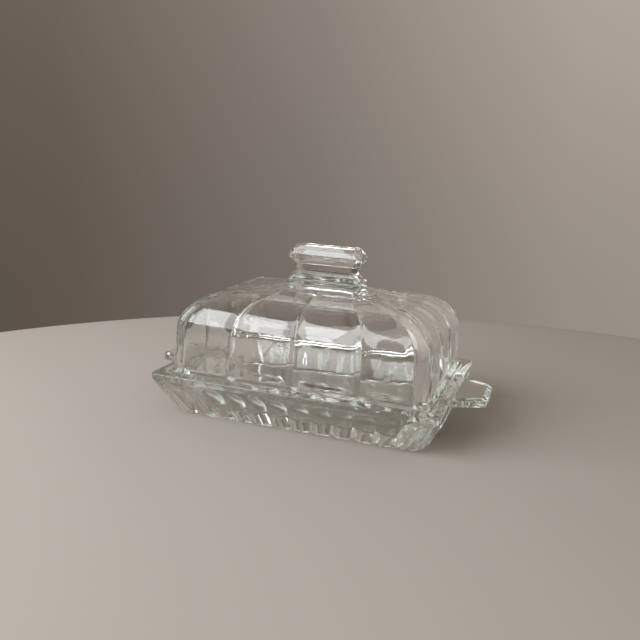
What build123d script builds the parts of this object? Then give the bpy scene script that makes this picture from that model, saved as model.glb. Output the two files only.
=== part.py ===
from build123d import *
import math
import os

# A butter dish in thick pressed glass: a fluted dish with a tab at each end, and a
# panelled cover with a spool-shaped knob. Each is one pressing, so there are two parts.
# Frame: +X along the length, +Y across it, +Z up. The origin is on the table, under
# the middle of the dish. Sizes are in millimetres.

# ---- dish ----
RIM_LENGTH = 150.0
RIM_WIDTH = 110.0
RIM_CORNER = 3.5
RIM_HEIGHT = 21.0          # top of the smooth upright band round the rim
BAND_HEIGHT = 2.8
WALL_FLARE = 10.0          # how far the band stands out from the base, on every side
CREST_RISE = 1.2           # the crest inside the band, round the cover's seat
CREST_INSET = 4.0
SEAT_DEPTH = 1.7           # from the crest down to the seat
SEAT_LENGTH = 140.0
SEAT_WIDTH = 100.0
CAVITY_LENGTH = 125.2      # at the seat
CAVITY_WIDTH = 85.2
CAVITY_CORNER = 7.0
CAVITY_DRAFT = 7.4         # how far the cavity narrows down to its floor, on every side
FLOOR_THICKNESS = 7.0
FLOOR_FILLET = 3.0
FOOT_WIDTH = 6.0           # the ring that stands on the table
FOOT_RECESS = 1.0

# ---- flutes on the dish wall ----
LONG_FLUTES = 12
END_FLUTES = 10
FLUTE_RISE = 1.8           # how far a flute stands out of the wall
FLUTE_MARGIN = 3.9         # plain wall left at each corner, measured at the band
ARCH_GAP = 1.2             # plain wall between a flute's arch and the band

# ---- tabs ----
TAB_REACH = 16.0           # beyond the rim
TAB_ROOT_WIDTH = 49.7      # at the root, which is inside the wall
TAB_TIP_WIDTH = 27.0
TAB_TOP = 20.6
TAB_THICKNESS = 4.6
TAB_CORNER = 3.0
TAB_EDGE = 1.2

# ---- cover ----
COVER_LENGTH = 133.4       # between the corner creases of opposite sides
COVER_WIDTH = 94.0
COVER_CORNER = 6.0
COVER_WALL = 3.6           # at a crease, where the glass is thinnest
SEAT_GAP = 0.05
FOOT_HEIGHT = 2.8          # the foot round the cover's open edge
FOOT_UPRIGHT = 1.3
FOOT_PROUD = 0.8
SHOULDER_START = 44.0
WALL_DRAFT = 1.2           # how far the wall leans in before the shoulder starts
SHOULDER_RADIUS = 18.2
SHOULDER_SWEEP = 86.5      # degrees
CROWN_HEIGHT = 66.0        # where the crown meets the knob's plinth
INNER_CREASE = 34.5        # from the middle of a long side, which has a crease too
END_CREASE = 13.5
PANEL_BULGE = 0.049        # as a share of a panel's width
CORNER_BULGE = 0.30
SHOULDER_STEPS = 9
CROWN_STEPS = 4

# ---- knob ----
PLINTH_LENGTH = 40.8
PLINTH_WIDTH = 17.2
PLINTH_CORNER = 2.4        # the knob keeps it all the way up
PLINTH_SIDE_CREASE = 16.5  # where the creases arrive, from the middle of a side
PLINTH_END_CREASE = 5.0
# Height, and how far the knob is drawn in from the plinth's outline at that height.
KNOB_LEVELS = (
    (CROWN_HEIGHT - 1.0, 0.0),
    (69.6, 0.0),
    (73.8, 3.2),
    (77.6, 3.2),
    (80.8, 0.4),
    (83.0, 0.4),
    (87.3, 3.1),
)

# ---- worked out from the above ----
CREST_HEIGHT = RIM_HEIGHT + CREST_RISE
SEAT_HEIGHT = CREST_HEIGHT - SEAT_DEPTH
BAND_BOTTOM = RIM_HEIGHT - BAND_HEIGHT
WALL_SLANT = math.hypot(BAND_BOTTOM, WALL_FLARE)
BASE_LENGTH = RIM_LENGTH - 2 * WALL_FLARE
BASE_WIDTH = RIM_WIDTH - 2 * WALL_FLARE
BEVEL_TAPER = math.degrees(math.atan2(CREST_INSET, CREST_RISE))
COVER_BOTTOM = SEAT_HEIGHT + SEAT_GAP
# Where the creases stand, as shares of half of a side's straight length.
WALL_SIDE_CREASE = INNER_CREASE / (COVER_LENGTH / 2 - COVER_CORNER)
WALL_END_CREASE = END_CREASE / (COVER_WIDTH / 2 - COVER_CORNER)
CROWN_SIDE_CREASE = PLINTH_SIDE_CREASE / (PLINTH_LENGTH / 2 - PLINTH_CORNER)
CROWN_END_CREASE = PLINTH_END_CREASE / (PLINTH_WIDTH / 2 - PLINTH_CORNER)


def between(start, stop, share):
    return start + (stop - start) * share


def flute_pitch(rim_side, count):
    """Width of one flute at the band, where it is widest."""
    return (rim_side - 2 * FLUTE_MARGIN) / count


def flute_radius(pitch):
    """Radius of the arc that spans one pitch and rises FLUTE_RISE above it."""
    return (pitch ** 2 / 4 + FLUTE_RISE ** 2) / (2 * FLUTE_RISE)


def flute(pitch):
    """One flute, standing on the origin: a rod with a round top, which makes the arch."""
    radius = flute_radius(pitch)
    rod = WALL_SLANT - ARCH_GAP - pitch / 2
    with BuildPart() as rod_and_ball:
        with BuildSketch(Plane.XZ):
            with BuildLine():
                Line((0, -radius), (radius, -radius))
                Line((radius, -radius), (radius, rod))
                CenterArc((0, rod), radius, 0, 90)
                Line((0, rod + radius), (0, -radius))
            make_face()
        revolve(axis=Axis.Z)
    return rod_and_ball.part


def flute_places(rim_side, rim_distance, count, turn):
    """Where the flutes of one side stand: leaning and fanning out with the wall, sunk into it."""
    pitch = flute_pitch(rim_side, count)
    sink = flute_radius(pitch) - FLUTE_RISE
    fan = (rim_side - 2 * WALL_FLARE) / rim_side
    along = Vector(1, 0, 0).rotate(Axis.Z, turn)
    outward = Vector(0, -1, 0).rotate(Axis.Z, turn)
    up_wall = (outward * WALL_FLARE + Vector(0, 0, BAND_BOTTOM)).normalized()
    wall_normal = along.cross(up_wall)
    places = []
    for index in range(count):
        top_offset = pitch * (index - (count - 1) / 2)
        top = along * top_offset + outward * rim_distance + Vector(0, 0, BAND_BOTTOM)
        foot = along * top_offset * fan + outward * (rim_distance - WALL_FLARE)
        axis_foot = foot - wall_normal * sink
        places.append(Location(Plane(origin=axis_foot, z_dir=top - foot)))
    return places


def panel_outline(length, width, corner, height, crown_share=0.0, proud=0.0):
    """The cover's outline: four panels on a long side, three on an end, round corners.
    crown_share is how far up the crown it lies, from the shoulder to the plinth."""
    side = length / 2 - corner
    end = width / 2 - corner
    side_crease = side * between(WALL_SIDE_CREASE, CROWN_SIDE_CREASE, crown_share)
    end_crease = end * between(WALL_END_CREASE, CROWN_END_CREASE, crown_share)
    half_turn = [(x, -width / 2) for x in (-side, -side_crease, 0, side_crease, side)]
    half_turn += [(length / 2, y) for y in (-end, -end_crease, end_crease, end)]
    creases = [Vector(x, y) for x, y in half_turn]
    creases += [Vector(-x, -y) for x, y in half_turn]
    with BuildSketch(Plane.XY.offset(height)) as outline:
        with BuildLine():
            for start, stop in zip(creases, creases[1:] + creases[:1]):
                chord = stop - start
                at_corner = min(abs(chord.X), abs(chord.Y)) > corner / 2
                bulge = chord.length * (CORNER_BULGE if at_corner else PANEL_BULGE)
                outward = Vector(chord.Y, -chord.X).normalized()
                ThreePointArc(start, (start + stop) / 2 + outward * bulge, stop)
        make_face()
        if proud:
            offset(amount=proud)
    return outline.sketch


def plain_outline(length, width, corner, height):
    with BuildSketch(Plane.XY.offset(height)) as outline:
        RectangleRounded(length, width, corner)
    return outline.sketch


def dome_levels(length, width, corner, radius, top_height):
    """Length, width, corner, height and crown share of each section, going up."""
    levels = []
    for step in range(SHOULDER_STEPS + 1):
        angle = math.radians(SHOULDER_SWEEP) * step / SHOULDER_STEPS
        inset = WALL_DRAFT + radius * (1 - math.cos(angle))
        height = SHOULDER_START + radius * math.sin(angle)
        levels.append((length - 2 * inset, width - 2 * inset, corner, height, 0.0))
    shoulder_top = levels[-1]
    plinth = (PLINTH_LENGTH, PLINTH_WIDTH, PLINTH_CORNER)
    for step in range(1, CROWN_STEPS + 1):
        share = step / CROWN_STEPS
        section = [between(a, b, share) for a, b in zip(shoulder_top, plinth)]
        climb = math.sin(share * math.pi / 2)
        levels.append((*section, between(shoulder_top[3], top_height, climb), share))
    return levels


os.makedirs("parts", exist_ok=True)

# ---- one tab: a slab with round corners and bevelled edges, reaching into the wall ----
tab_root = RIM_LENGTH / 2 - WALL_FLARE
tab_tip = RIM_LENGTH / 2 + TAB_REACH

with BuildPart() as tab:
    with BuildSketch(Plane.XY.offset(TAB_TOP - TAB_THICKNESS)) as tab_plan:
        with BuildLine():
            Polyline(
                (tab_root, -TAB_ROOT_WIDTH / 2),
                (tab_tip, -TAB_TIP_WIDTH / 2),
                (tab_tip, TAB_TIP_WIDTH / 2),
                (tab_root, TAB_ROOT_WIDTH / 2),
                close=True,
            )
        make_face()
        fillet(tab_plan.vertices().group_by(Axis.X)[-1], TAB_CORNER)
    extrude(amount=TAB_THICKNESS)
    flat_faces = tab.faces().filter_by(Axis.Z)
    root_edges = tab.edges().group_by(Axis.X)[0]
    chamfer(flat_faces.edges() - root_edges, TAB_EDGE)

# ---- dish: flared fluted wall, band, crest, seat and cavity, with the two tabs ----
long_flute = flute(flute_pitch(RIM_LENGTH, LONG_FLUTES))
end_flute = flute(flute_pitch(RIM_WIDTH, END_FLUTES))

with BuildPart() as dish:
    loft(sections=[
        plain_outline(BASE_LENGTH, BASE_WIDTH, RIM_CORNER, 0),
        plain_outline(RIM_LENGTH, RIM_WIDTH, RIM_CORNER, BAND_BOTTOM),
    ])
    for turn in (0, 180):
        with Locations(*flute_places(RIM_LENGTH, RIM_WIDTH / 2, LONG_FLUTES, turn)):
            add(long_flute)
    for turn in (90, 270):
        with Locations(*flute_places(RIM_WIDTH, RIM_LENGTH / 2, END_FLUTES, turn)):
            add(end_flute)
    split(bisect_by=Plane.XY, keep=Keep.TOP)
    split(bisect_by=Plane.XY.offset(BAND_BOTTOM), keep=Keep.BOTTOM)
    extrude(plain_outline(RIM_LENGTH, RIM_WIDTH, RIM_CORNER, BAND_BOTTOM), BAND_HEIGHT)
    extrude(
        plain_outline(RIM_LENGTH, RIM_WIDTH, RIM_CORNER, RIM_HEIGHT),
        CREST_RISE,
        taper=BEVEL_TAPER,
    )
    for turn in (0, 180):
        add(tab.part, rotation=(0, 0, turn))
    extrude(
        plain_outline(SEAT_LENGTH, SEAT_WIDTH, RIM_CORNER, SEAT_HEIGHT),
        RIM_HEIGHT,
        mode=Mode.SUBTRACT,
    )
    loft(
        sections=[
            plain_outline(
                CAVITY_LENGTH - 2 * CAVITY_DRAFT,
                CAVITY_WIDTH - 2 * CAVITY_DRAFT,
                CAVITY_CORNER,
                FLOOR_THICKNESS,
            ),
            plain_outline(CAVITY_LENGTH, CAVITY_WIDTH, CAVITY_CORNER, SEAT_HEIGHT),
        ],
        mode=Mode.SUBTRACT,
    )
    floor = dish.faces(Select.LAST).sort_by(Axis.Z)[0]
    fillet(floor.edges(), FLOOR_FILLET)
    extrude(
        plain_outline(
            BASE_LENGTH - 2 * FOOT_WIDTH, BASE_WIDTH - 2 * FOOT_WIDTH, RIM_CORNER, 0
        ),
        FOOT_RECESS,
        mode=Mode.SUBTRACT,
    )
dish.part.label = "dish"
export_step(dish.part, "parts/dish.step")

# ---- cover: lobed foot, leaning wall, shoulder and crown, with the knob on top ----
foot_outline = (COVER_LENGTH, COVER_WIDTH, COVER_CORNER)
wall_top = (COVER_LENGTH - 2 * WALL_DRAFT, COVER_WIDTH - 2 * WALL_DRAFT, COVER_CORNER)
inner_length = COVER_LENGTH - 2 * COVER_WALL
inner_width = COVER_WIDTH - 2 * COVER_WALL
outer_dome = dome_levels(*foot_outline, SHOULDER_RADIUS, CROWN_HEIGHT)
inner_dome = dome_levels(
    inner_length,
    inner_width,
    COVER_CORNER,
    SHOULDER_RADIUS - COVER_WALL,
    CROWN_HEIGHT - COVER_WALL,
)

with BuildPart() as cover:
    extrude(panel_outline(*foot_outline, COVER_BOTTOM, proud=FOOT_PROUD), FOOT_UPRIGHT)
    loft(
        sections=[
            panel_outline(*foot_outline, COVER_BOTTOM + FOOT_UPRIGHT, proud=FOOT_PROUD),
            panel_outline(*foot_outline, COVER_BOTTOM + FOOT_HEIGHT),
        ],
        ruled=True,
    )
    loft(
        sections=[
            panel_outline(*foot_outline, COVER_BOTTOM),
            panel_outline(*wall_top, SHOULDER_START),
        ],
        ruled=True,
    )
    loft(sections=[panel_outline(*level) for level in outer_dome], ruled=True)
    loft(
        sections=[
            plain_outline(
                PLINTH_LENGTH - 2 * inset, PLINTH_WIDTH - 2 * inset, PLINTH_CORNER, height
            )
            for height, inset in KNOB_LEVELS
        ],
        ruled=True,
    )
    loft(
        sections=[
            plain_outline(inner_length, inner_width, COVER_CORNER, COVER_BOTTOM),
            plain_outline(*inner_dome[0][:4]),
        ],
        mode=Mode.SUBTRACT,
    )
    loft(
        sections=[plain_outline(*level[:4]) for level in inner_dome],
        ruled=True,
        mode=Mode.SUBTRACT,
    )
cover.part.label = "cover"
export_step(cover.part, "parts/cover.step")
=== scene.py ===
import math
from collections import namedtuple

import bmesh
import bpy
from mathutils import Matrix, Vector


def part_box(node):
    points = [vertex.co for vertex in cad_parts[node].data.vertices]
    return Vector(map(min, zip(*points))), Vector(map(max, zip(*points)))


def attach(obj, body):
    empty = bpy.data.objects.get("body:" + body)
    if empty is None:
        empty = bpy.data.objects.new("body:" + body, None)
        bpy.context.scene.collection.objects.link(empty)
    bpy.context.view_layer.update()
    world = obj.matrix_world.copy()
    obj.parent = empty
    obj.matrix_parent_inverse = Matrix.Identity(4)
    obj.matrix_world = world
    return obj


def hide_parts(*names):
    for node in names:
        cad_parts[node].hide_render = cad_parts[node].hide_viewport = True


# A covered butter dish in thick pressed glass. The dish and the cover are each built as
# one closed skin of rings, so that light meets glass only where the real thing has a
# surface. Shapes are in millimetres, in the CAD frame, and become metres in skin().
MM = 0.001

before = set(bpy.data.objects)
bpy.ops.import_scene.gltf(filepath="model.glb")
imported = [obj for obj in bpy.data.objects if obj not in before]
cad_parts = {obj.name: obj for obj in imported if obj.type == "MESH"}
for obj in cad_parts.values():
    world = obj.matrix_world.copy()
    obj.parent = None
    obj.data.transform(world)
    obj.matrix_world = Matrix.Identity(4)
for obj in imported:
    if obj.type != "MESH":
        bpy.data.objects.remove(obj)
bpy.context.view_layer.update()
_, dish_high = (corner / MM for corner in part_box("dish"))
cover_low, cover_high = (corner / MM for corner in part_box("cover"))

# ---- dish ----
TAB_TIP = dish_high.x
RIM_WIDTH = 2 * dish_high.y
CREST_HEIGHT = dish_high.z
LENGTH_OVER_WIDTH = 40.0
RIM_LENGTH = RIM_WIDTH + LENGTH_OVER_WIDTH
RIM_CORNER = 3.5
CREST_RISE = 1.2
RIM_HEIGHT = CREST_HEIGHT - CREST_RISE
BAND_HEIGHT = 2.8
BAND_BOTTOM = RIM_HEIGHT - BAND_HEIGHT
WALL_FLARE = 10.0           # how far the band stands out from the base
CREST_INSET = 4.0
SEAT_INSET = 5.0
SEAT_DEPTH = 1.7
SEAT_HEIGHT = CREST_HEIGHT - SEAT_DEPTH
CAVITY_INSET = 12.4
CAVITY_DRAFT = 7.4          # how far the cavity narrows down to its floor
CAVITY_CORNER = 7.0
FLOOR_HEIGHT = 7.0
FLOOR_FILLET = 3.0
FOOT_WIDTH = 6.0
FOOT_RECESS = 1.0
RECESS_FILLET = 0.3
FOOT_FILLET = 0.4
BASE_FILLET = 0.8           # round the outside of the foot, flutes and all
BAND_FILLET = 0.3
RIM_FILLET = 0.8
CREST_FILLET = 0.5
CREST_EDGE_FILLET = 0.35
SEAT_FILLET = 0.4
CAVITY_FILLET = 0.8

# ---- how far from its corner a ring lies where two profiles meet on a face ----
RECESS_LEAD = 1.0
FOOT_LEAD = 2.0
FACE_LEAD = 1.5
FLUTE_LEAD = 1.4
BAND_LEAD = 0.25
FLOOR_LEAD = 8.0

# ---- ring heights up the fluted wall ----
LOW_RINGS = 5
LOW_RING_STEP = 1.6
ARCH_RINGS_START = 9.0
ARCH_RING_STEP = 0.35
ARCH_RINGS_STOP = BAND_BOTTOM - 0.3

# ---- flutes on the dish wall ----
LONG_FLUTES = 12
END_FLUTES = 10
FLUTE_RISE = 1.8            # how far a flute stands out of the wall
FLUTE_MARGIN = 3.9          # plain wall left at each corner, measured at the band
ARCH_GAP = 1.2              # plain wall between a flute's arch and the band
FLUTE_SAMPLES = 16

# ---- tabs ----
TAB_SUNK = 3.5              # how far a tab reaches into the wall
TAB_ROOT = RIM_LENGTH / 2 - TAB_SUNK
TAB_ROOT_WIDTH = 44.0
TAB_TIP_WIDTH = 27.0
TAB_BELOW_RIM = 0.4
TAB_TOP = RIM_HEIGHT - TAB_BELOW_RIM
TAB_THICKNESS = 4.6
TAB_CORNER = 3.0
TAB_ROOT_CORNER = 0.3
TAB_BEVEL = 1.3
TIP_BEVEL = 1.2             # the bevel runs this much further in along the tip
TAB_EDGE = 0.4

# ---- cover ----
COVER_LENGTH = 133.4
COVER_WIDTH = 94.0
COVER_CORNER = 6.0
SIDE_PANELS = 4
END_PANELS = 3
COVER_WALL = 3.6            # at a crease, where the glass is thinnest
INNER_EASE = 1.0            # the inside turns in this much lower, with a wider radius
COVER_BOTTOM = cover_low.z
FOOT_PROUD = 0.8            # the foot round the cover's open edge
FOOT_UPRIGHT = 1.3
FOOT_HEIGHT = 2.8
INNER_EDGE_FILLET = 0.7
OUTER_EDGE_FILLET = 0.5
FOOT_TOP_FILLET = 0.7
FOOT_NECK_FILLET = 0.9
WALL_LEAD = 2.0             # up the wall, where the foot's profile ends
SHOULDER_START = 44.0
WALL_DRAFT = 1.2            # how far the wall leans in before the shoulder starts
SHOULDER_RADIUS = 18.2
SHOULDER_SWEEP = 86.5       # degrees
CROWN_HEIGHT = 66.0
INNER_CREASE = 34.5         # from the middle of a long side, which has a crease too
END_CREASE = 13.5
VALLEY_DEPTH = 1.45
VALLEY_REACH = 1.8
VALLEY_BOTTOM = 0.5         # the valleys are round over this reach
PANEL_ROUND = 0.010         # as a share of a panel's width
END_LOBES = 0.5             # lobes on the ends, as a share of those on the long sides
FOOT_LOBE_DIP = 0.5         # the lobes draw in above the foot, and are full again higher up
FOOT_LOBE_DIP_RISE = 1.6
FOOT_LOBE_FULL_RISE = 6.0
SHOULDER_TOP_LOBES = 0.3    # the lobes draw in on the way up, as shares of the full lobe
PLINTH_LOBES = 0.2
PANEL_SAMPLES = 28
CORNER_SAMPLES = 16
WALL_STEPS = 14
SHOULDER_STEPS = 24
INNER_SHOULDER_STEPS = 16
CROWN_STEPS = 12

# ---- knob ----
KNOB_TOP = cover_high.z
PLINTH_LENGTH = 40.8
PLINTH_WIDTH = 17.2
PLINTH_CORNER = 2.4
PLINTH_SIDE_CREASE = 16.5
PLINTH_END_CREASE = 5.0
PLINTH_SPREAD = 0.9         # how far outside the plinth the crown ends
# Outset, rise above the crown and share of the lobes, where the crown turns up to the plinth.
PLINTH_TURN = ((0.25, 0.3, 0.15), (0.0, 1.0, 0.07))
KNOB_FILLET = 0.4
# Outset from the plinth, and height.
KNOB_PROFILE = (
    (0.0, CROWN_HEIGHT + 1.8),
    (0.0, 69.6),
    (-3.2, 73.8),
    (-3.2, 77.6),
    (-0.4, 80.8),
    (-0.4, 83.0),
    (-3.1, KNOB_TOP),
    (-4.4, KNOB_TOP),
)

FILLET_STEPS = 5
LEVEL_TILT = 0.0
UPWARD_TILT = math.pi / 2

Plan = namedtuple("Plan", "length width corner side_crease end_crease")


def between(start, stop, share):
    return start + (stop - start) * share


def eased(count):
    """Shares from 0 up to but not including 1, crowded towards both ends."""
    return [(1 - math.cos(math.pi * step / count)) / 2 for step in range(count)]


def even(count):
    return [step / count for step in range(count)]


# ---------------------------------------------------------------- skins of rings


def skin(name, rings):
    """A closed mesh through rings of points, in metres, with its two ends filled flat."""
    mesh = bmesh.new()
    loops = [[mesh.verts.new(point * MM) for point in ring] for ring in rings]
    for lower, upper in zip(loops, loops[1:]):
        for index in range(len(lower)):
            after = (index + 1) % len(lower)
            face = mesh.faces.new((lower[index], lower[after], upper[after], upper[index]))
            face.smooth = True
    mesh.faces.new(list(reversed(loops[0])))
    mesh.faces.new(loops[-1])
    data = bpy.data.meshes.new(name)
    mesh.to_mesh(data)
    mesh.free()
    piece = bpy.data.objects.new(name, data)
    bpy.context.scene.collection.objects.link(piece)
    return piece


def rounded(corners):
    """A profile of (outset, height) points, from corners given as (outset, height, radius)."""
    path = [Vector(corners[0][:2])]
    for before, corner, after in zip(corners, corners[1:], corners[2:]):
        point = Vector(corner[:2])
        to_before = (Vector(before[:2]) - point).normalized()
        to_after = (Vector(after[:2]) - point).normalized()
        half_angle = to_before.angle(to_after) / 2
        reach = corner[2] / math.tan(half_angle)
        centre = point + (to_before + to_after).normalized() * corner[2] / math.sin(half_angle)
        start = point + to_before * reach - centre
        stop = point + to_after * reach - centre
        for step in range(FILLET_STEPS + 1):
            arm = start.slerp(stop, step / FILLET_STEPS).normalized()
            path.append(centre + arm * corner[2])
    path.append(Vector(corners[-1][:2]))
    return path


def corner_arc(centre_x, centre_y, radius, start_degrees, count):
    """Points and outward directions along a quarter circle, without its last point."""
    arc = []
    for share in even(count):
        angle = math.radians(start_degrees + 90 * share)
        out_x, out_y = math.cos(angle), math.sin(angle)
        arc.append((centre_x + radius * out_x, centre_y + radius * out_y, out_x, out_y))
    return arc


def whole_turn(half_turn):
    """Both halves of an outline that looks the same turned half round."""
    return half_turn + [(-x, -y, -out_x, -out_y) for x, y, out_x, out_y in half_turn]


# ---------------------------------------------------------------- cover


def cover_plan(outset):
    """The cover's outline at the wall, moved outwards by outset. Creases move with it."""
    side = COVER_LENGTH / 2 - COVER_CORNER
    end = COVER_WIDTH / 2 - COVER_CORNER
    corner = COVER_CORNER + max(outset, 0)
    reach = min(outset, 0)
    return Plan(
        COVER_LENGTH + 2 * outset,
        COVER_WIDTH + 2 * outset,
        corner,
        INNER_CREASE * (side + reach) / side,
        END_CREASE * (end + reach) / end,
    )


def cover_outline(plan):
    """Points and outward directions round the cover, anticlockwise from the front left."""
    side = plan.length / 2 - plan.corner
    end = plan.width / 2 - plan.corner
    side_stops = (-side, -plan.side_crease, 0, plan.side_crease, side)
    end_stops = (-end, -plan.end_crease, plan.end_crease, end)
    half = []
    for start, stop in zip(side_stops, side_stops[1:]):
        half += [(between(start, stop, s), -plan.width / 2, 0, -1) for s in eased(PANEL_SAMPLES)]
    half += corner_arc(side, -end, plan.corner, -90, CORNER_SAMPLES)
    for start, stop in zip(end_stops, end_stops[1:]):
        half += [(plan.length / 2, between(start, stop, s), 1, 0) for s in eased(PANEL_SAMPLES)]
    half += corner_arc(side, end, plan.corner, 0, CORNER_SAMPLES)
    return whole_turn(half)


def lobe(width, shares, strength=1.0):
    """A cushion between two creases: a rounded valley at each, and nearly flat between."""
    heights = []
    for share in shares:
        edge = width * min(share, 1 - share)
        from_bottom = math.hypot(edge, VALLEY_BOTTOM) - VALLEY_BOTTOM
        out_of_valley = 1 - math.exp(-from_bottom / VALLEY_REACH)
        rounding = 1 - (2 * share - 1) ** 2
        height = VALLEY_DEPTH * out_of_valley + PANEL_ROUND * width * rounding
        heights.append(height * strength)
    return heights


def cover_lobes():
    """How far each point of the outline stands out of the straight line between creases."""
    inner = INNER_CREASE
    outer = COVER_LENGTH / 2 - COVER_CORNER - INNER_CREASE
    middle = 2 * END_CREASE
    flank = COVER_WIDTH / 2 - COVER_CORNER - END_CREASE
    corner = lobe(COVER_CORNER * math.pi / 2, even(CORNER_SAMPLES))
    half = []
    for width in (outer, inner, inner, outer):
        half += lobe(width, eased(PANEL_SAMPLES))
    half += corner
    for width in (flank, middle, flank):
        half += lobe(width, eased(PANEL_SAMPLES), END_LOBES)
    half += corner
    return half + half


LOBES = cover_lobes()


def corner_cuts():
    """For each point of the outline, how far a flat cut across the corner takes it in,
    as a share of the corner's radius."""
    corner = []
    for share in even(CORNER_SAMPLES):
        off_middle = math.radians(90 * share - 45)
        corner.append(1 - math.cos(math.radians(45)) / math.cos(off_middle))
    side = [0.0] * SIDE_PANELS * PANEL_SAMPLES
    end = [0.0] * END_PANELS * PANEL_SAMPLES
    return (side + corner + end + corner) * 2


CUTS = corner_cuts()


def cover_ring(plan, height, tilt=LEVEL_TILT, share=0.0, cut=0.0):
    """One ring. The lobes stand out along a direction tilted up from level by tilt, and
    cut takes its round corners part or all of the way to flat ones."""
    ring = []
    for (x, y, out_x, out_y), bulge, corner_cut in zip(cover_outline(plan), LOBES, CUTS):
        level = bulge * share * math.cos(tilt) - corner_cut * cut * plan.corner
        rise = bulge * share * math.sin(tilt)
        ring.append(Vector((x + out_x * level, y + out_y * level, height + rise)))
    return ring


def mixed(first, second, share):
    return Plan(*(between(a, b, share) for a, b in zip(first, second)))


def inner_rings():
    """The inside of the cover, from under the knob out to the shoulder and down the wall."""
    radius = SHOULDER_RADIUS - COVER_WALL + INNER_EASE
    sweep = math.radians(SHOULDER_SWEEP)
    lean = math.atan2(WALL_DRAFT, SHOULDER_START - COVER_BOTTOM)
    shoulder = []
    for step in range(INNER_SHOULDER_STEPS + 1):
        angle = between(lean, sweep, step / INNER_SHOULDER_STEPS)
        inset = COVER_WALL + WALL_DRAFT + radius * (math.cos(lean) - math.cos(angle))
        height = SHOULDER_START - INNER_EASE + radius * (math.sin(angle) - math.sin(lean))
        shoulder.append((cover_plan(-inset)._replace(corner=COVER_CORNER), height))
    top_plan, top_height = shoulder[-1]
    middle = Plan(
        length=PLINTH_LENGTH / 2,
        width=PLINTH_WIDTH / 2,
        corner=2.0,
        side_crease=8.0,
        end_crease=2.2,
    )
    crown = CROWN_HEIGHT - COVER_WALL
    rings = []
    for step in range(CROWN_STEPS):
        share = 1 - step / CROWN_STEPS
        climb = math.sin(share * math.pi / 2)
        plan = mixed(top_plan, middle, share)
        rings.append(cover_ring(plan, between(top_height, crown, climb)))
    for plan, height in reversed(shoulder):
        rings.append(cover_ring(plan, height))
    return rings


def wall_outset(height):
    """How far the cover's wall has leant in at a height."""
    return -WALL_DRAFT * (height - COVER_BOTTOM) / (SHOULDER_START - COVER_BOTTOM)


def foot_and_wall_rings():
    """Down the inside of the wall, round the open edge and the foot, and up the outside."""
    foot_top = COVER_BOTTOM + FOOT_HEIGHT
    wall_start = foot_top + WALL_LEAD
    inner_top = SHOULDER_START - INNER_EASE - WALL_LEAD
    profile = rounded([
        (wall_outset(inner_top) - COVER_WALL, inner_top, 0),
        (-COVER_WALL, COVER_BOTTOM, INNER_EDGE_FILLET),
        (FOOT_PROUD, COVER_BOTTOM, OUTER_EDGE_FILLET),
        (FOOT_PROUD, COVER_BOTTOM + FOOT_UPRIGHT, FOOT_TOP_FILLET),
        (wall_outset(foot_top), foot_top, FOOT_NECK_FILLET),
        (wall_outset(wall_start), wall_start, 0),
    ])
    rings = []
    for outset, height in profile:
        outside = outset > -COVER_WALL / 2
        share = lobe_share(height) if outside else 0.0
        rings.append(cover_ring(cover_plan(outset), height, share=share))
    for step in range(1, WALL_STEPS):
        height = between(wall_start, SHOULDER_START, step / WALL_STEPS)
        plan = cover_plan(wall_outset(height))
        rings.append(cover_ring(plan, height, share=lobe_share(height)))
    return rings


def lobe_share(height):
    """The lobes are full at the foot and up the wall, and draw in between the two."""
    start = COVER_BOTTOM + FOOT_UPRIGHT
    low = start + FOOT_LOBE_DIP_RISE
    full = low + FOOT_LOBE_FULL_RISE
    if height < start:
        return 1.0
    if height < low:
        return between(1.0, FOOT_LOBE_DIP, (height - start) / (low - start))
    if height < full:
        climb = math.sin((height - low) / (full - low) * math.pi / 2)
        return between(FOOT_LOBE_DIP, 1.0, climb)
    return 1.0


def shoulder_rings():
    """The outside of the shoulder, and of the crown up to the knob's plinth."""
    sweep = math.radians(SHOULDER_SWEEP)
    lean = math.atan2(WALL_DRAFT, SHOULDER_START - COVER_BOTTOM)
    rings = []
    for step in range(SHOULDER_STEPS + 1):
        angle = between(lean, sweep, step / SHOULDER_STEPS)
        inset = WALL_DRAFT + SHOULDER_RADIUS * (math.cos(lean) - math.cos(angle))
        height = SHOULDER_START + SHOULDER_RADIUS * (math.sin(angle) - math.sin(lean))
        plan = cover_plan(-inset)._replace(corner=COVER_CORNER)
        share = between(1.0, SHOULDER_TOP_LOBES, (step / SHOULDER_STEPS) ** 2)
        rings.append(cover_ring(plan, height, angle, share))
    plinth = plinth_plan(PLINTH_SPREAD)
    for step in range(1, CROWN_STEPS + 1):
        share = step / CROWN_STEPS
        ring_plan = mixed(plan, plinth, share)
        ring_height = between(height, CROWN_HEIGHT, share)
        lobes = between(SHOULDER_TOP_LOBES, PLINTH_LOBES, share)
        rings.append(cover_ring(ring_plan, ring_height, UPWARD_TILT, lobes, share))
    return rings


def plinth_plan(outset):
    return Plan(
        PLINTH_LENGTH + 2 * outset,
        PLINTH_WIDTH + 2 * outset,
        PLINTH_CORNER + max(outset, 0),
        PLINTH_SIDE_CREASE,
        PLINTH_END_CREASE,
    )


def knob_plan(inset):
    """The knob narrows with height, and the points round it draw together in step."""
    length = PLINTH_LENGTH - 2 * inset
    width = PLINTH_WIDTH - 2 * inset
    return Plan(
        length,
        width,
        PLINTH_CORNER,
        PLINTH_SIDE_CREASE * length / PLINTH_LENGTH,
        PLINTH_END_CREASE * width / PLINTH_WIDTH,
    )


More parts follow.
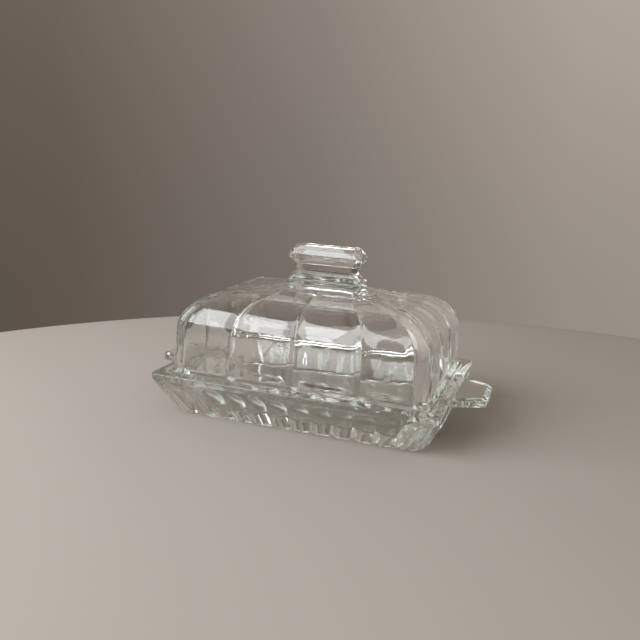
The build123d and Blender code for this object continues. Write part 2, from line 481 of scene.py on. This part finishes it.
def knob_rings():
    """The plinth and the knob, with a flat cut down each of its upright edges."""
    rings = []
    for outset, rise, lobes in PLINTH_TURN:
        plan = plinth_plan(outset)
        rings.append(cover_ring(plan, CROWN_HEIGHT + rise, UPWARD_TILT, lobes, cut=1.0))
    profile = rounded([(outset, height, KNOB_FILLET) for outset, height in KNOB_PROFILE])
    for outset, height in profile:
        rings.append(cover_ring(knob_plan(-outset), height, cut=1.0))
    return rings


def build_cover():
    rings = inner_rings() + foot_and_wall_rings() + shoulder_rings() + knob_rings()
    return skin("cover_glass", rings)


# ---------------------------------------------------------------- dish


def dish_outline(length, width, corner):
    """Points and outward directions round the dish, with the same samples at each level."""
    side = length / 2 - corner
    end = width / 2 - corner
    half = [(x * side, -width / 2, 0, -1) for x in side_shares(LONG_FLUTES, RIM_LENGTH)]
    half += corner_arc(side, -end, corner, -90, CORNER_SAMPLES)
    half += [(length / 2, y * end, 1, 0) for y in side_shares(END_FLUTES, RIM_WIDTH)]
    half += corner_arc(side, end, corner, 0, CORNER_SAMPLES)
    return whole_turn(half)


def side_shares(count, rim_side):
    """Where the samples stand along one straight side, from -1 up to but not including 1."""
    reach = (rim_side / 2 - FLUTE_MARGIN) / (rim_side / 2 - RIM_CORNER)
    pitch = 2 * reach / count
    shares = [-1.0]
    for index in range(count):
        shares += [-reach + pitch * (index + share) for share in eased(FLUTE_SAMPLES)]
    return shares + [reach]


def flute_offsets():
    """For each sample round the dish: how far across its flute it stands (-1 to 1), and
    the flute's pitch at the band. Samples on plain wall have no pitch."""
    half = []
    for count, rim_side in ((LONG_FLUTES, RIM_LENGTH), (END_FLUTES, RIM_WIDTH)):
        pitch = (rim_side - 2 * FLUTE_MARGIN) / count
        across = [(2 * share - 1, pitch) for share in eased(FLUTE_SAMPLES)]
        half += [(0, 0)] + across * count + [(-1, pitch)] + [(0, 0)] * CORNER_SAMPLES
    return half + half


FLUTE_OFFSETS = flute_offsets()
WALL_SLANT = math.hypot(BAND_BOTTOM, WALL_FLARE)


def flute_depth(across, pitch, height):
    """How far a flute stands out of the wall: a rod with a round top, sunk into the wall."""
    if not pitch:
        return 0.0
    radius = (pitch ** 2 / 4 + FLUTE_RISE ** 2) / (2 * FLUTE_RISE)
    fan = 1 - (1 - height / BAND_BOTTOM) * 2 * WALL_FLARE / RIM_LENGTH
    up_wall = height / BAND_BOTTOM * WALL_SLANT
    over = max(0.0, up_wall - (WALL_SLANT - ARCH_GAP - pitch / 2))
    squared = radius ** 2 - (across * pitch / 2 * fan) ** 2 - over ** 2
    if squared <= 0:
        return 0.0
    return max(0.0, math.sqrt(squared) - (radius - FLUTE_RISE))


def dish_ring(outset, height, corner=RIM_CORNER, fluted=0.0):
    """One ring, moved outwards from the rim by outset. The flutes are there when fluted is 1."""
    ring = []
    slant = WALL_SLANT / BAND_BOTTOM
    length = RIM_LENGTH + 2 * outset
    width = RIM_WIDTH + 2 * outset
    for (x, y, out_x, out_y), (across, pitch) in zip(
        dish_outline(length, width, corner), FLUTE_OFFSETS
    ):
        depth = flute_depth(across, pitch, height) * slant * fluted
        ring.append(Vector((x + out_x * depth, y + out_y * depth, height)))
    return ring


def wall_height_steps():
    """Ring heights up the fluted wall, close together where the arches are."""
    low = [LOW_RING_STEP + LOW_RING_STEP * step for step in range(LOW_RINGS)]
    arch_rings = math.ceil((ARCH_RINGS_STOP - ARCH_RINGS_START) / ARCH_RING_STEP)
    return low + [ARCH_RINGS_START + ARCH_RING_STEP * step for step in range(arch_rings)]


def wall_line(height):
    """How far outside the rim's outline the plain wall stands at a height: never more than 0."""
    return -WALL_FLARE * (1 - height / BAND_BOTTOM)


def build_dish():
    """The dish without its tabs, from the recess under it, round the rim and down inside."""
    base = -WALL_FLARE
    floor = -CAVITY_INSET - CAVITY_DRAFT
    underside = rounded([
        (base - FOOT_WIDTH - RECESS_LEAD, FOOT_RECESS, 0),
        (base - FOOT_WIDTH, FOOT_RECESS, RECESS_FILLET),
        (base - FOOT_WIDTH, 0, FOOT_FILLET),
        (base - FOOT_LEAD, 0, 0),
    ])
    rings = [dish_ring(outset, height) for outset, height in underside]
    edge = rounded([
        (base - FACE_LEAD, 0, 0),
        (base, 0, BASE_FILLET),
        (wall_line(FLUTE_LEAD), FLUTE_LEAD, 0),
    ])
    rings += [dish_ring(outset, height, fluted=1.0) for outset, height in edge]
    for height in wall_height_steps():
        rings.append(dish_ring(wall_line(height), height, fluted=1.0))
    rim = rounded([
        (wall_line(BAND_BOTTOM - BAND_LEAD), BAND_BOTTOM - BAND_LEAD, 0),
        (0, BAND_BOTTOM, BAND_FILLET),
        (0, RIM_HEIGHT, RIM_FILLET),
        (-CREST_INSET, CREST_HEIGHT, CREST_FILLET),
        (-SEAT_INSET, CREST_HEIGHT, CREST_EDGE_FILLET),
        (-SEAT_INSET, SEAT_HEIGHT, SEAT_FILLET),
        (-SEAT_INSET - FACE_LEAD, SEAT_HEIGHT, 0),
    ])
    rings += [dish_ring(outset, height) for outset, height in rim]
    cavity = rounded([
        (-CAVITY_INSET + FACE_LEAD, SEAT_HEIGHT, 0),
        (-CAVITY_INSET, SEAT_HEIGHT, CAVITY_FILLET),
        (floor, FLOOR_HEIGHT, FLOOR_FILLET),
        (floor - FLOOR_LEAD, FLOOR_HEIGHT, 0),
    ])
    rings += [dish_ring(outset, height, CAVITY_CORNER) for outset, height in cavity]
    return skin("dish_glass", rings)


def tab_outline():
    """Points and outward directions round a tab, anticlockwise, with round tip corners."""
    corners = [
        (TAB_ROOT, -TAB_ROOT_WIDTH / 2, TAB_ROOT_CORNER),
        (TAB_TIP, -TAB_TIP_WIDTH / 2, TAB_CORNER),
        (TAB_TIP, TAB_TIP_WIDTH / 2, TAB_CORNER),
        (TAB_ROOT, TAB_ROOT_WIDTH / 2, TAB_ROOT_CORNER),
    ]
    loop = [(TAB_ROOT, 0, 0)] + corners + [(TAB_ROOT, 0, 0)]
    points = rounded(loop)[:-1]
    outline = []
    for index, point in enumerate(points):
        along = points[(index + 1) % len(points)] - points[index - 1]
        outward = Vector((along.y, -along.x)).normalized()
        outline.append((point, outward))
    return outline


def build_tab(name, turn):
    """A slab that reaches into the dish's wall: at the +X end for a turn of 1, -X for -1."""
    bottom = TAB_TOP - TAB_THICKNESS
    profile = rounded([
        (-TAB_BEVEL - FACE_LEAD, bottom, 0),
        (0, bottom, TAB_EDGE),
        (0, TAB_TOP - TAB_BEVEL, TAB_EDGE),
        (-TAB_BEVEL, TAB_TOP, TAB_EDGE),
        (-TAB_BEVEL - FACE_LEAD, TAB_TOP, 0),
    ])
    rings = []
    for outset, height in profile:
        ring = []
        up_bevel = max(0.0, (height - TAB_TOP) / TAB_BEVEL + 1)
        for point, outward in tab_outline():
            moved = point + outward * outset
            moved.x -= TIP_BEVEL * up_bevel * max(0.0, outward.x)
            ring.append(Vector((turn * moved.x, turn * moved.y, height)))
        rings.append(ring)
    return skin(name, rings)


def joined(base, *others):
    """base with the others melted into it, as one skin with nothing left inside."""
    for other in others:
        union = base.modifiers.new(other.name, "BOOLEAN")
        union.operation = "UNION"
        union.solver = "MANIFOLD"
        union.object = other
    bpy.context.view_layer.update()
    depsgraph = bpy.context.evaluated_depsgraph_get()
    base.data = bpy.data.meshes.new_from_object(base.evaluated_get(depsgraph))
    base.data.materials.clear()
    base.modifiers.clear()
    for other in others:
        bpy.data.objects.remove(other)
    return base


def even_shading(piece):
    """Flat faces keep their flat look right up to their rounded edges."""
    weighted = piece.modifiers.new("even_shading", "WEIGHTED_NORMAL")
    weighted.mode = "FACE_AREA"
    weighted.weight = 60


# ---------------------------------------------------------------- materials

CLEAR = (0.99, 0.995, 0.99)
DISH_TINT = (0.75, 0.775, 0.735)
COVER_TINT = (0.77, 0.79, 0.755)
TINT_DENSITY = 11.0         # per metre of glass
# How much of the table's light one surface lets through.
UPRIGHT_SHADE = (0.54, 0.55, 0.53)
LEVEL_SHADE = (0.93, 0.94, 0.92)


def pressed_glass(name, tint):
    """Pressed glass: a slow waviness left by the mould, and a faint tint that deepens
    with thickness. Rays that gather light for the table pass straight through, dimmed a
    little by level faces and much by upright ones, which would bend the light away."""
    material = bpy.data.materials.new(name)
    material.use_nodes = True
    nodes = material.node_tree.nodes
    link = material.node_tree.links.new
    glass = nodes["Principled BSDF"]
    output = nodes["Material Output"]
    glass.inputs["Base Color"].default_value = (*CLEAR, 1)
    glass.inputs["IOR"].default_value = 1.51
    glass.inputs["Transmission Weight"].default_value = 1.0

    place = nodes.new("ShaderNodeTexCoord")
    haze = nodes.new("ShaderNodeTexNoise")
    haze.inputs["Scale"].default_value = 60
    haze.inputs["Detail"].default_value = 4
    haze_range = nodes.new("ShaderNodeMapRange")
    haze_range.inputs["From Min"].default_value = 0.4
    haze_range.inputs["From Max"].default_value = 0.8
    haze_range.inputs["To Min"].default_value = 0.0
    haze_range.inputs["To Max"].default_value = 0.03
    link(place.outputs["Object"], haze.inputs["Vector"])
    link(haze.outputs["Fac"], haze_range.inputs["Value"])
    link(haze_range.outputs["Result"], glass.inputs["Roughness"])

    wave = nodes.new("ShaderNodeTexNoise")
    wave.inputs["Scale"].default_value = 90
    wave.inputs["Detail"].default_value = 2
    bump = nodes.new("ShaderNodeBump")
    bump.inputs["Strength"].default_value = 0.12
    bump.inputs["Distance"].default_value = 0.0008
    link(place.outputs["Object"], wave.inputs["Vector"])
    link(wave.outputs["Fac"], bump.inputs["Height"])
    link(bump.outputs["Normal"], glass.inputs["Normal"])

    seen_by = nodes.new("ShaderNodeLightPath")
    shade = nodes.new("ShaderNodeBsdfTransparent")
    surface = nodes.new("ShaderNodeNewGeometry")
    facing = nodes.new("ShaderNodeSeparateXYZ")
    upward = nodes.new("ShaderNodeMath")
    upward.operation = "ABSOLUTE"
    level = nodes.new("ShaderNodeMapRange")
    level.inputs["From Min"].default_value = 0.7
    level.inputs["From Max"].default_value = 1.0
    dimming = nodes.new("ShaderNodeMix")
    dimming.data_type = "RGBA"
    dimming.inputs["A"].default_value = (*UPRIGHT_SHADE, 1)
    dimming.inputs["B"].default_value = (*LEVEL_SHADE, 1)
    link(surface.outputs["Normal"], facing.inputs["Vector"])
    link(facing.outputs["Z"], upward.inputs[0])
    link(upward.outputs["Value"], level.inputs["Value"])
    link(level.outputs["Result"], dimming.inputs["Factor"])
    link(dimming.outputs["Result"], shade.inputs["Color"])
    either = nodes.new("ShaderNodeMath")
    either.operation = "MAXIMUM"
    mix = nodes.new("ShaderNodeMixShader")
    link(seen_by.outputs["Is Shadow Ray"], either.inputs[0])
    link(seen_by.outputs["Is Diffuse Ray"], either.inputs[1])
    link(either.outputs["Value"], mix.inputs["Fac"])
    link(glass.outputs["BSDF"], mix.inputs[1])
    link(shade.outputs["BSDF"], mix.inputs[2])
    link(mix.outputs["Shader"], output.inputs["Surface"])

    body = nodes.new("ShaderNodeVolumeAbsorption")
    body.inputs["Color"].default_value = (*tint, 1)
    body.inputs["Density"].default_value = TINT_DENSITY
    link(body.outputs["Volume"], output.inputs["Volume"])
    return material


def matt(name, colour, grain_scale, grain):
    """A plain matt surface with a faint grain."""
    material = bpy.data.materials.new(name)
    material.use_nodes = True
    nodes = material.node_tree.nodes
    link = material.node_tree.links.new
    surface = nodes["Principled BSDF"]
    surface.inputs["Roughness"].default_value = 0.75
    surface.inputs["Specular IOR Level"].default_value = 0.2
    noise = nodes.new("ShaderNodeTexNoise")
    noise.inputs["Scale"].default_value = grain_scale
    noise.inputs["Detail"].default_value = 6
    ramp = nodes.new("ShaderNodeMix")
    ramp.data_type = "RGBA"
    ramp.inputs["A"].default_value = (*(c * (1 - grain) for c in colour), 1)
    ramp.inputs["B"].default_value = (*(c * (1 + grain) for c in colour), 1)
    place = nodes.new("ShaderNodeTexCoord")
    link(place.outputs["Object"], noise.inputs["Vector"])
    link(noise.outputs["Fac"], ramp.inputs["Factor"])
    link(ramp.outputs["Result"], surface.inputs["Base Color"])
    return material


# ---------------------------------------------------------------- the object

dish = joined(build_dish(), build_tab("tab_right", 1), build_tab("tab_left", -1))
cover = build_cover()
even_shading(dish)
even_shading(cover)
dish.data.materials.append(pressed_glass("dish_glass", DISH_TINT))
cover.data.materials.append(pressed_glass("cover_glass", COVER_TINT))
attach(dish, "dish")
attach(cover, "cover")
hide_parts("dish")
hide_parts("cover")


# ---------------------------------------------------------------- stage, light and camera
# The camera is in degrees and millimetres, the window and the table in metres.

CAMERA_AZIMUTH = 18.2
CAMERA_ELEVATION = 12.96
CAMERA_ROLL = 3.03
CAMERA_DISTANCE = 404.5
CAMERA_TARGET = Vector((-2.72, 0.0, 46.84))
CAMERA_LENS = 41.93
SENSOR = 36.0
ROOM_SHARE = 0.52           # how bright the room in front is, as a share of the wall
WALL_REACH = 0.7            # the wall's shades run this far left and right across a ray
FAR_LEFT_SHADE = (0.100, 0.082, 0.068)
FAR_RIGHT_SHADE = (0.42, 0.37, 0.33)
# Where each shade stands, from far left to far right, and its colour.
WALL_SHADES = (
    (0.273, (0.137, 0.109, 0.089)),
    (0.5, (0.227, 0.193, 0.170)),
    (0.724, (0.360, 0.312, 0.272)),
)
WINDOW_AZIMUTH = 44.0       # from straight in front towards the left
WINDOW_DISTANCE = 0.6
WINDOW_WIDTH = 0.70
WINDOW_SILL = 0.20
WINDOW_TOP = 0.92
WINDOW_RADIANCE = 6.2
WINDOW_COLOUR = (0.95, 0.98, 1.0)
TABLE_RADIUS = 0.451
TABLE_EDGE = 0.03           # the edge rolls over within this width, down by the drop
TABLE_DROP = 0.006
TABLE_POINTS = 256
TABLE_EDGE_STEPS = 12
TABLE_COLOUR = (0.489, 0.444, 0.404)
TABLE_CENTRE = Vector((0.137, -0.1623, -0.0001))


def camera_axes():
    """The camera's right, its up, and the way back from what it looks at towards it."""
    azimuth = math.radians(CAMERA_AZIMUTH)
    elevation = math.radians(CAMERA_ELEVATION)
    roll = math.radians(CAMERA_ROLL)
    back = Vector((
        math.sin(azimuth) * math.cos(elevation),
        -math.cos(azimuth) * math.cos(elevation),
        math.sin(elevation),
    ))
    right = (-back).cross(Vector((0, 0, 1))).normalized()
    up = right.cross(-back)
    tilted_right = right * math.cos(roll) + up * math.sin(roll)
    tilted_up = up * math.cos(roll) - right * math.sin(roll)
    return tilted_right, tilted_up, back


def add_camera():
    right, up, back = camera_axes()
    data = bpy.data.cameras.new("camera")
    data.lens = CAMERA_LENS
    data.sensor_width = SENSOR
    data.clip_start = 0.01
    data.clip_end = 50
    camera = bpy.data.objects.new("camera", data)
    axes = Matrix((right, up, back)).transposed().to_4x4()
    place = (CAMERA_TARGET + back * CAMERA_DISTANCE) * MM
    camera.matrix_world = Matrix.Translation(place) @ axes
    bpy.context.scene.collection.objects.link(camera)
    bpy.context.scene.camera = camera


def add_table():
    """A large round table top. Its far edge, which rolls over, shows behind the dish."""
    mesh = bmesh.new()
    rings = []
    for step in range(TABLE_EDGE_STEPS + 1):
        turn = math.radians(90 * step / TABLE_EDGE_STEPS)
        radius = TABLE_RADIUS - TABLE_EDGE * (1 - math.sin(turn))
        height = TABLE_DROP * (math.cos(turn) - 1)
        ring = []
        for share in even(TABLE_POINTS):
            angle = 2 * math.pi * share
            point = (radius * math.cos(angle), radius * math.sin(angle), height)
            ring.append(mesh.verts.new(point))
        rings.append(ring)
    mesh.faces.new(rings[0])
    for inner, outer in zip(rings, rings[1:]):
        for index in range(len(inner)):
            face = mesh.faces.new((inner[index - 1], outer[index - 1], outer[index], inner[index]))
            face.smooth = True
    data = bpy.data.meshes.new("table")
    mesh.to_mesh(data)
    mesh.free()
    table = bpy.data.objects.new("table", data)
    table.location = TABLE_CENTRE
    table.data.materials.append(matt("table", TABLE_COLOUR, grain_scale=900, grain=0.03))
    bpy.context.scene.collection.objects.link(table)


def add_window():
    """An upright soft light in front of the dish, on its left, that faces it."""
    turn = math.radians(WINDOW_AZIMUTH)
    away = Vector((-math.sin(turn), -math.cos(turn), 0.0))
    data = bpy.data.lights.new("window", "AREA")
    data.shape = "RECTANGLE"
    data.size = WINDOW_WIDTH
    data.size_y = WINDOW_TOP - WINDOW_SILL
    data.energy = WINDOW_RADIANCE * math.pi * data.size * data.size_y
    data.color = WINDOW_COLOUR
    window = bpy.data.objects.new("window", data)
    middle = (WINDOW_TOP + WINDOW_SILL) / 2
    window.location = away * WINDOW_DISTANCE + Vector((0, 0, middle))
    window.rotation_mode = "QUATERNION"
    window.rotation_quaternion = away.to_track_quat("Z", "Y")
    bpy.context.scene.collection.objects.link(window)


def add_backdrop():
    """A plain room, painted on the world: a wall behind the dish that is darker on the
    left and towards the table, and a dim room in front of it and below the table."""
    right, _, back = camera_axes()
    world = bpy.data.worlds.new("backdrop")
    bpy.context.scene.world = world
    world.use_nodes = True
    nodes = world.node_tree.nodes
    link = world.node_tree.links.new
    background = nodes["Background"]
    place = nodes.new("ShaderNodeTexCoord")

    def along(direction, low, high, low_value, high_value):
        """How far a ray points along a direction, from low_value to high_value."""
        dot = nodes.new("ShaderNodeVectorMath")
        dot.operation = "DOT_PRODUCT"
        dot.inputs[1].default_value = direction
        scale = nodes.new("ShaderNodeMapRange")
        scale.interpolation_type = "SMOOTHSTEP"
        scale.inputs["From Min"].default_value = low
        scale.inputs["From Max"].default_value = high
        scale.inputs["To Min"].default_value = low_value
        scale.inputs["To Max"].default_value = high_value
        link(place.outputs["Generated"], dot.inputs[0])
        link(dot.outputs["Value"], scale.inputs["Value"])
        return scale.outputs["Result"]

    def times(first, second):
        product = nodes.new("ShaderNodeMath")
        product.operation = "MULTIPLY"
        link(first, product.inputs[0])
        link(second, product.inputs[1])
        return product.outputs["Value"]

    shade = nodes.new("ShaderNodeValToRGB")
    ramp = shade.color_ramp
    ramp.elements[0].position = 0.0
    ramp.elements[0].color = (*FAR_LEFT_SHADE, 1)
    ramp.elements[1].position = 1.0
    ramp.elements[1].color = (*FAR_RIGHT_SHADE, 1)
    for position, colour in WALL_SHADES:
        ramp.elements.new(position).color = (*colour, 1)
    across = nodes.new("ShaderNodeVectorMath")
    across.operation = "DOT_PRODUCT"
    across.inputs[1].default_value = right
    spread = nodes.new("ShaderNodeMapRange")
    spread.inputs["From Min"].default_value = -WALL_REACH
    spread.inputs["From Max"].default_value = WALL_REACH
    link(place.outputs["Generated"], across.inputs[0])
    link(across.outputs["Value"], spread.inputs["Value"])
    link(spread.outputs["Result"], shade.inputs["Fac"])

    up = Vector((0, 0, 1))
    higher = along(up, low=-0.25, high=0.6, low_value=0.85, high_value=1.45)
    below = along(up, low=-0.5, high=-0.3, low_value=0.6, high_value=1.0)
    behind_camera = along(back, low=-0.5, high=0.3, low_value=1.0, high_value=ROOM_SHARE)
    link(shade.outputs["Color"], background.inputs["Color"])
    link(times(times(higher, below), behind_camera), background.inputs["Strength"])


add_camera()
add_table()
add_backdrop()
add_window()

scene = bpy.context.scene
scene.view_settings.view_transform = "Standard"
scene.cycles.max_bounces = 32
scene.cycles.transmission_bounces = 32
scene.cycles.glossy_bounces = 32
scene.cycles.transparent_max_bounces = 24
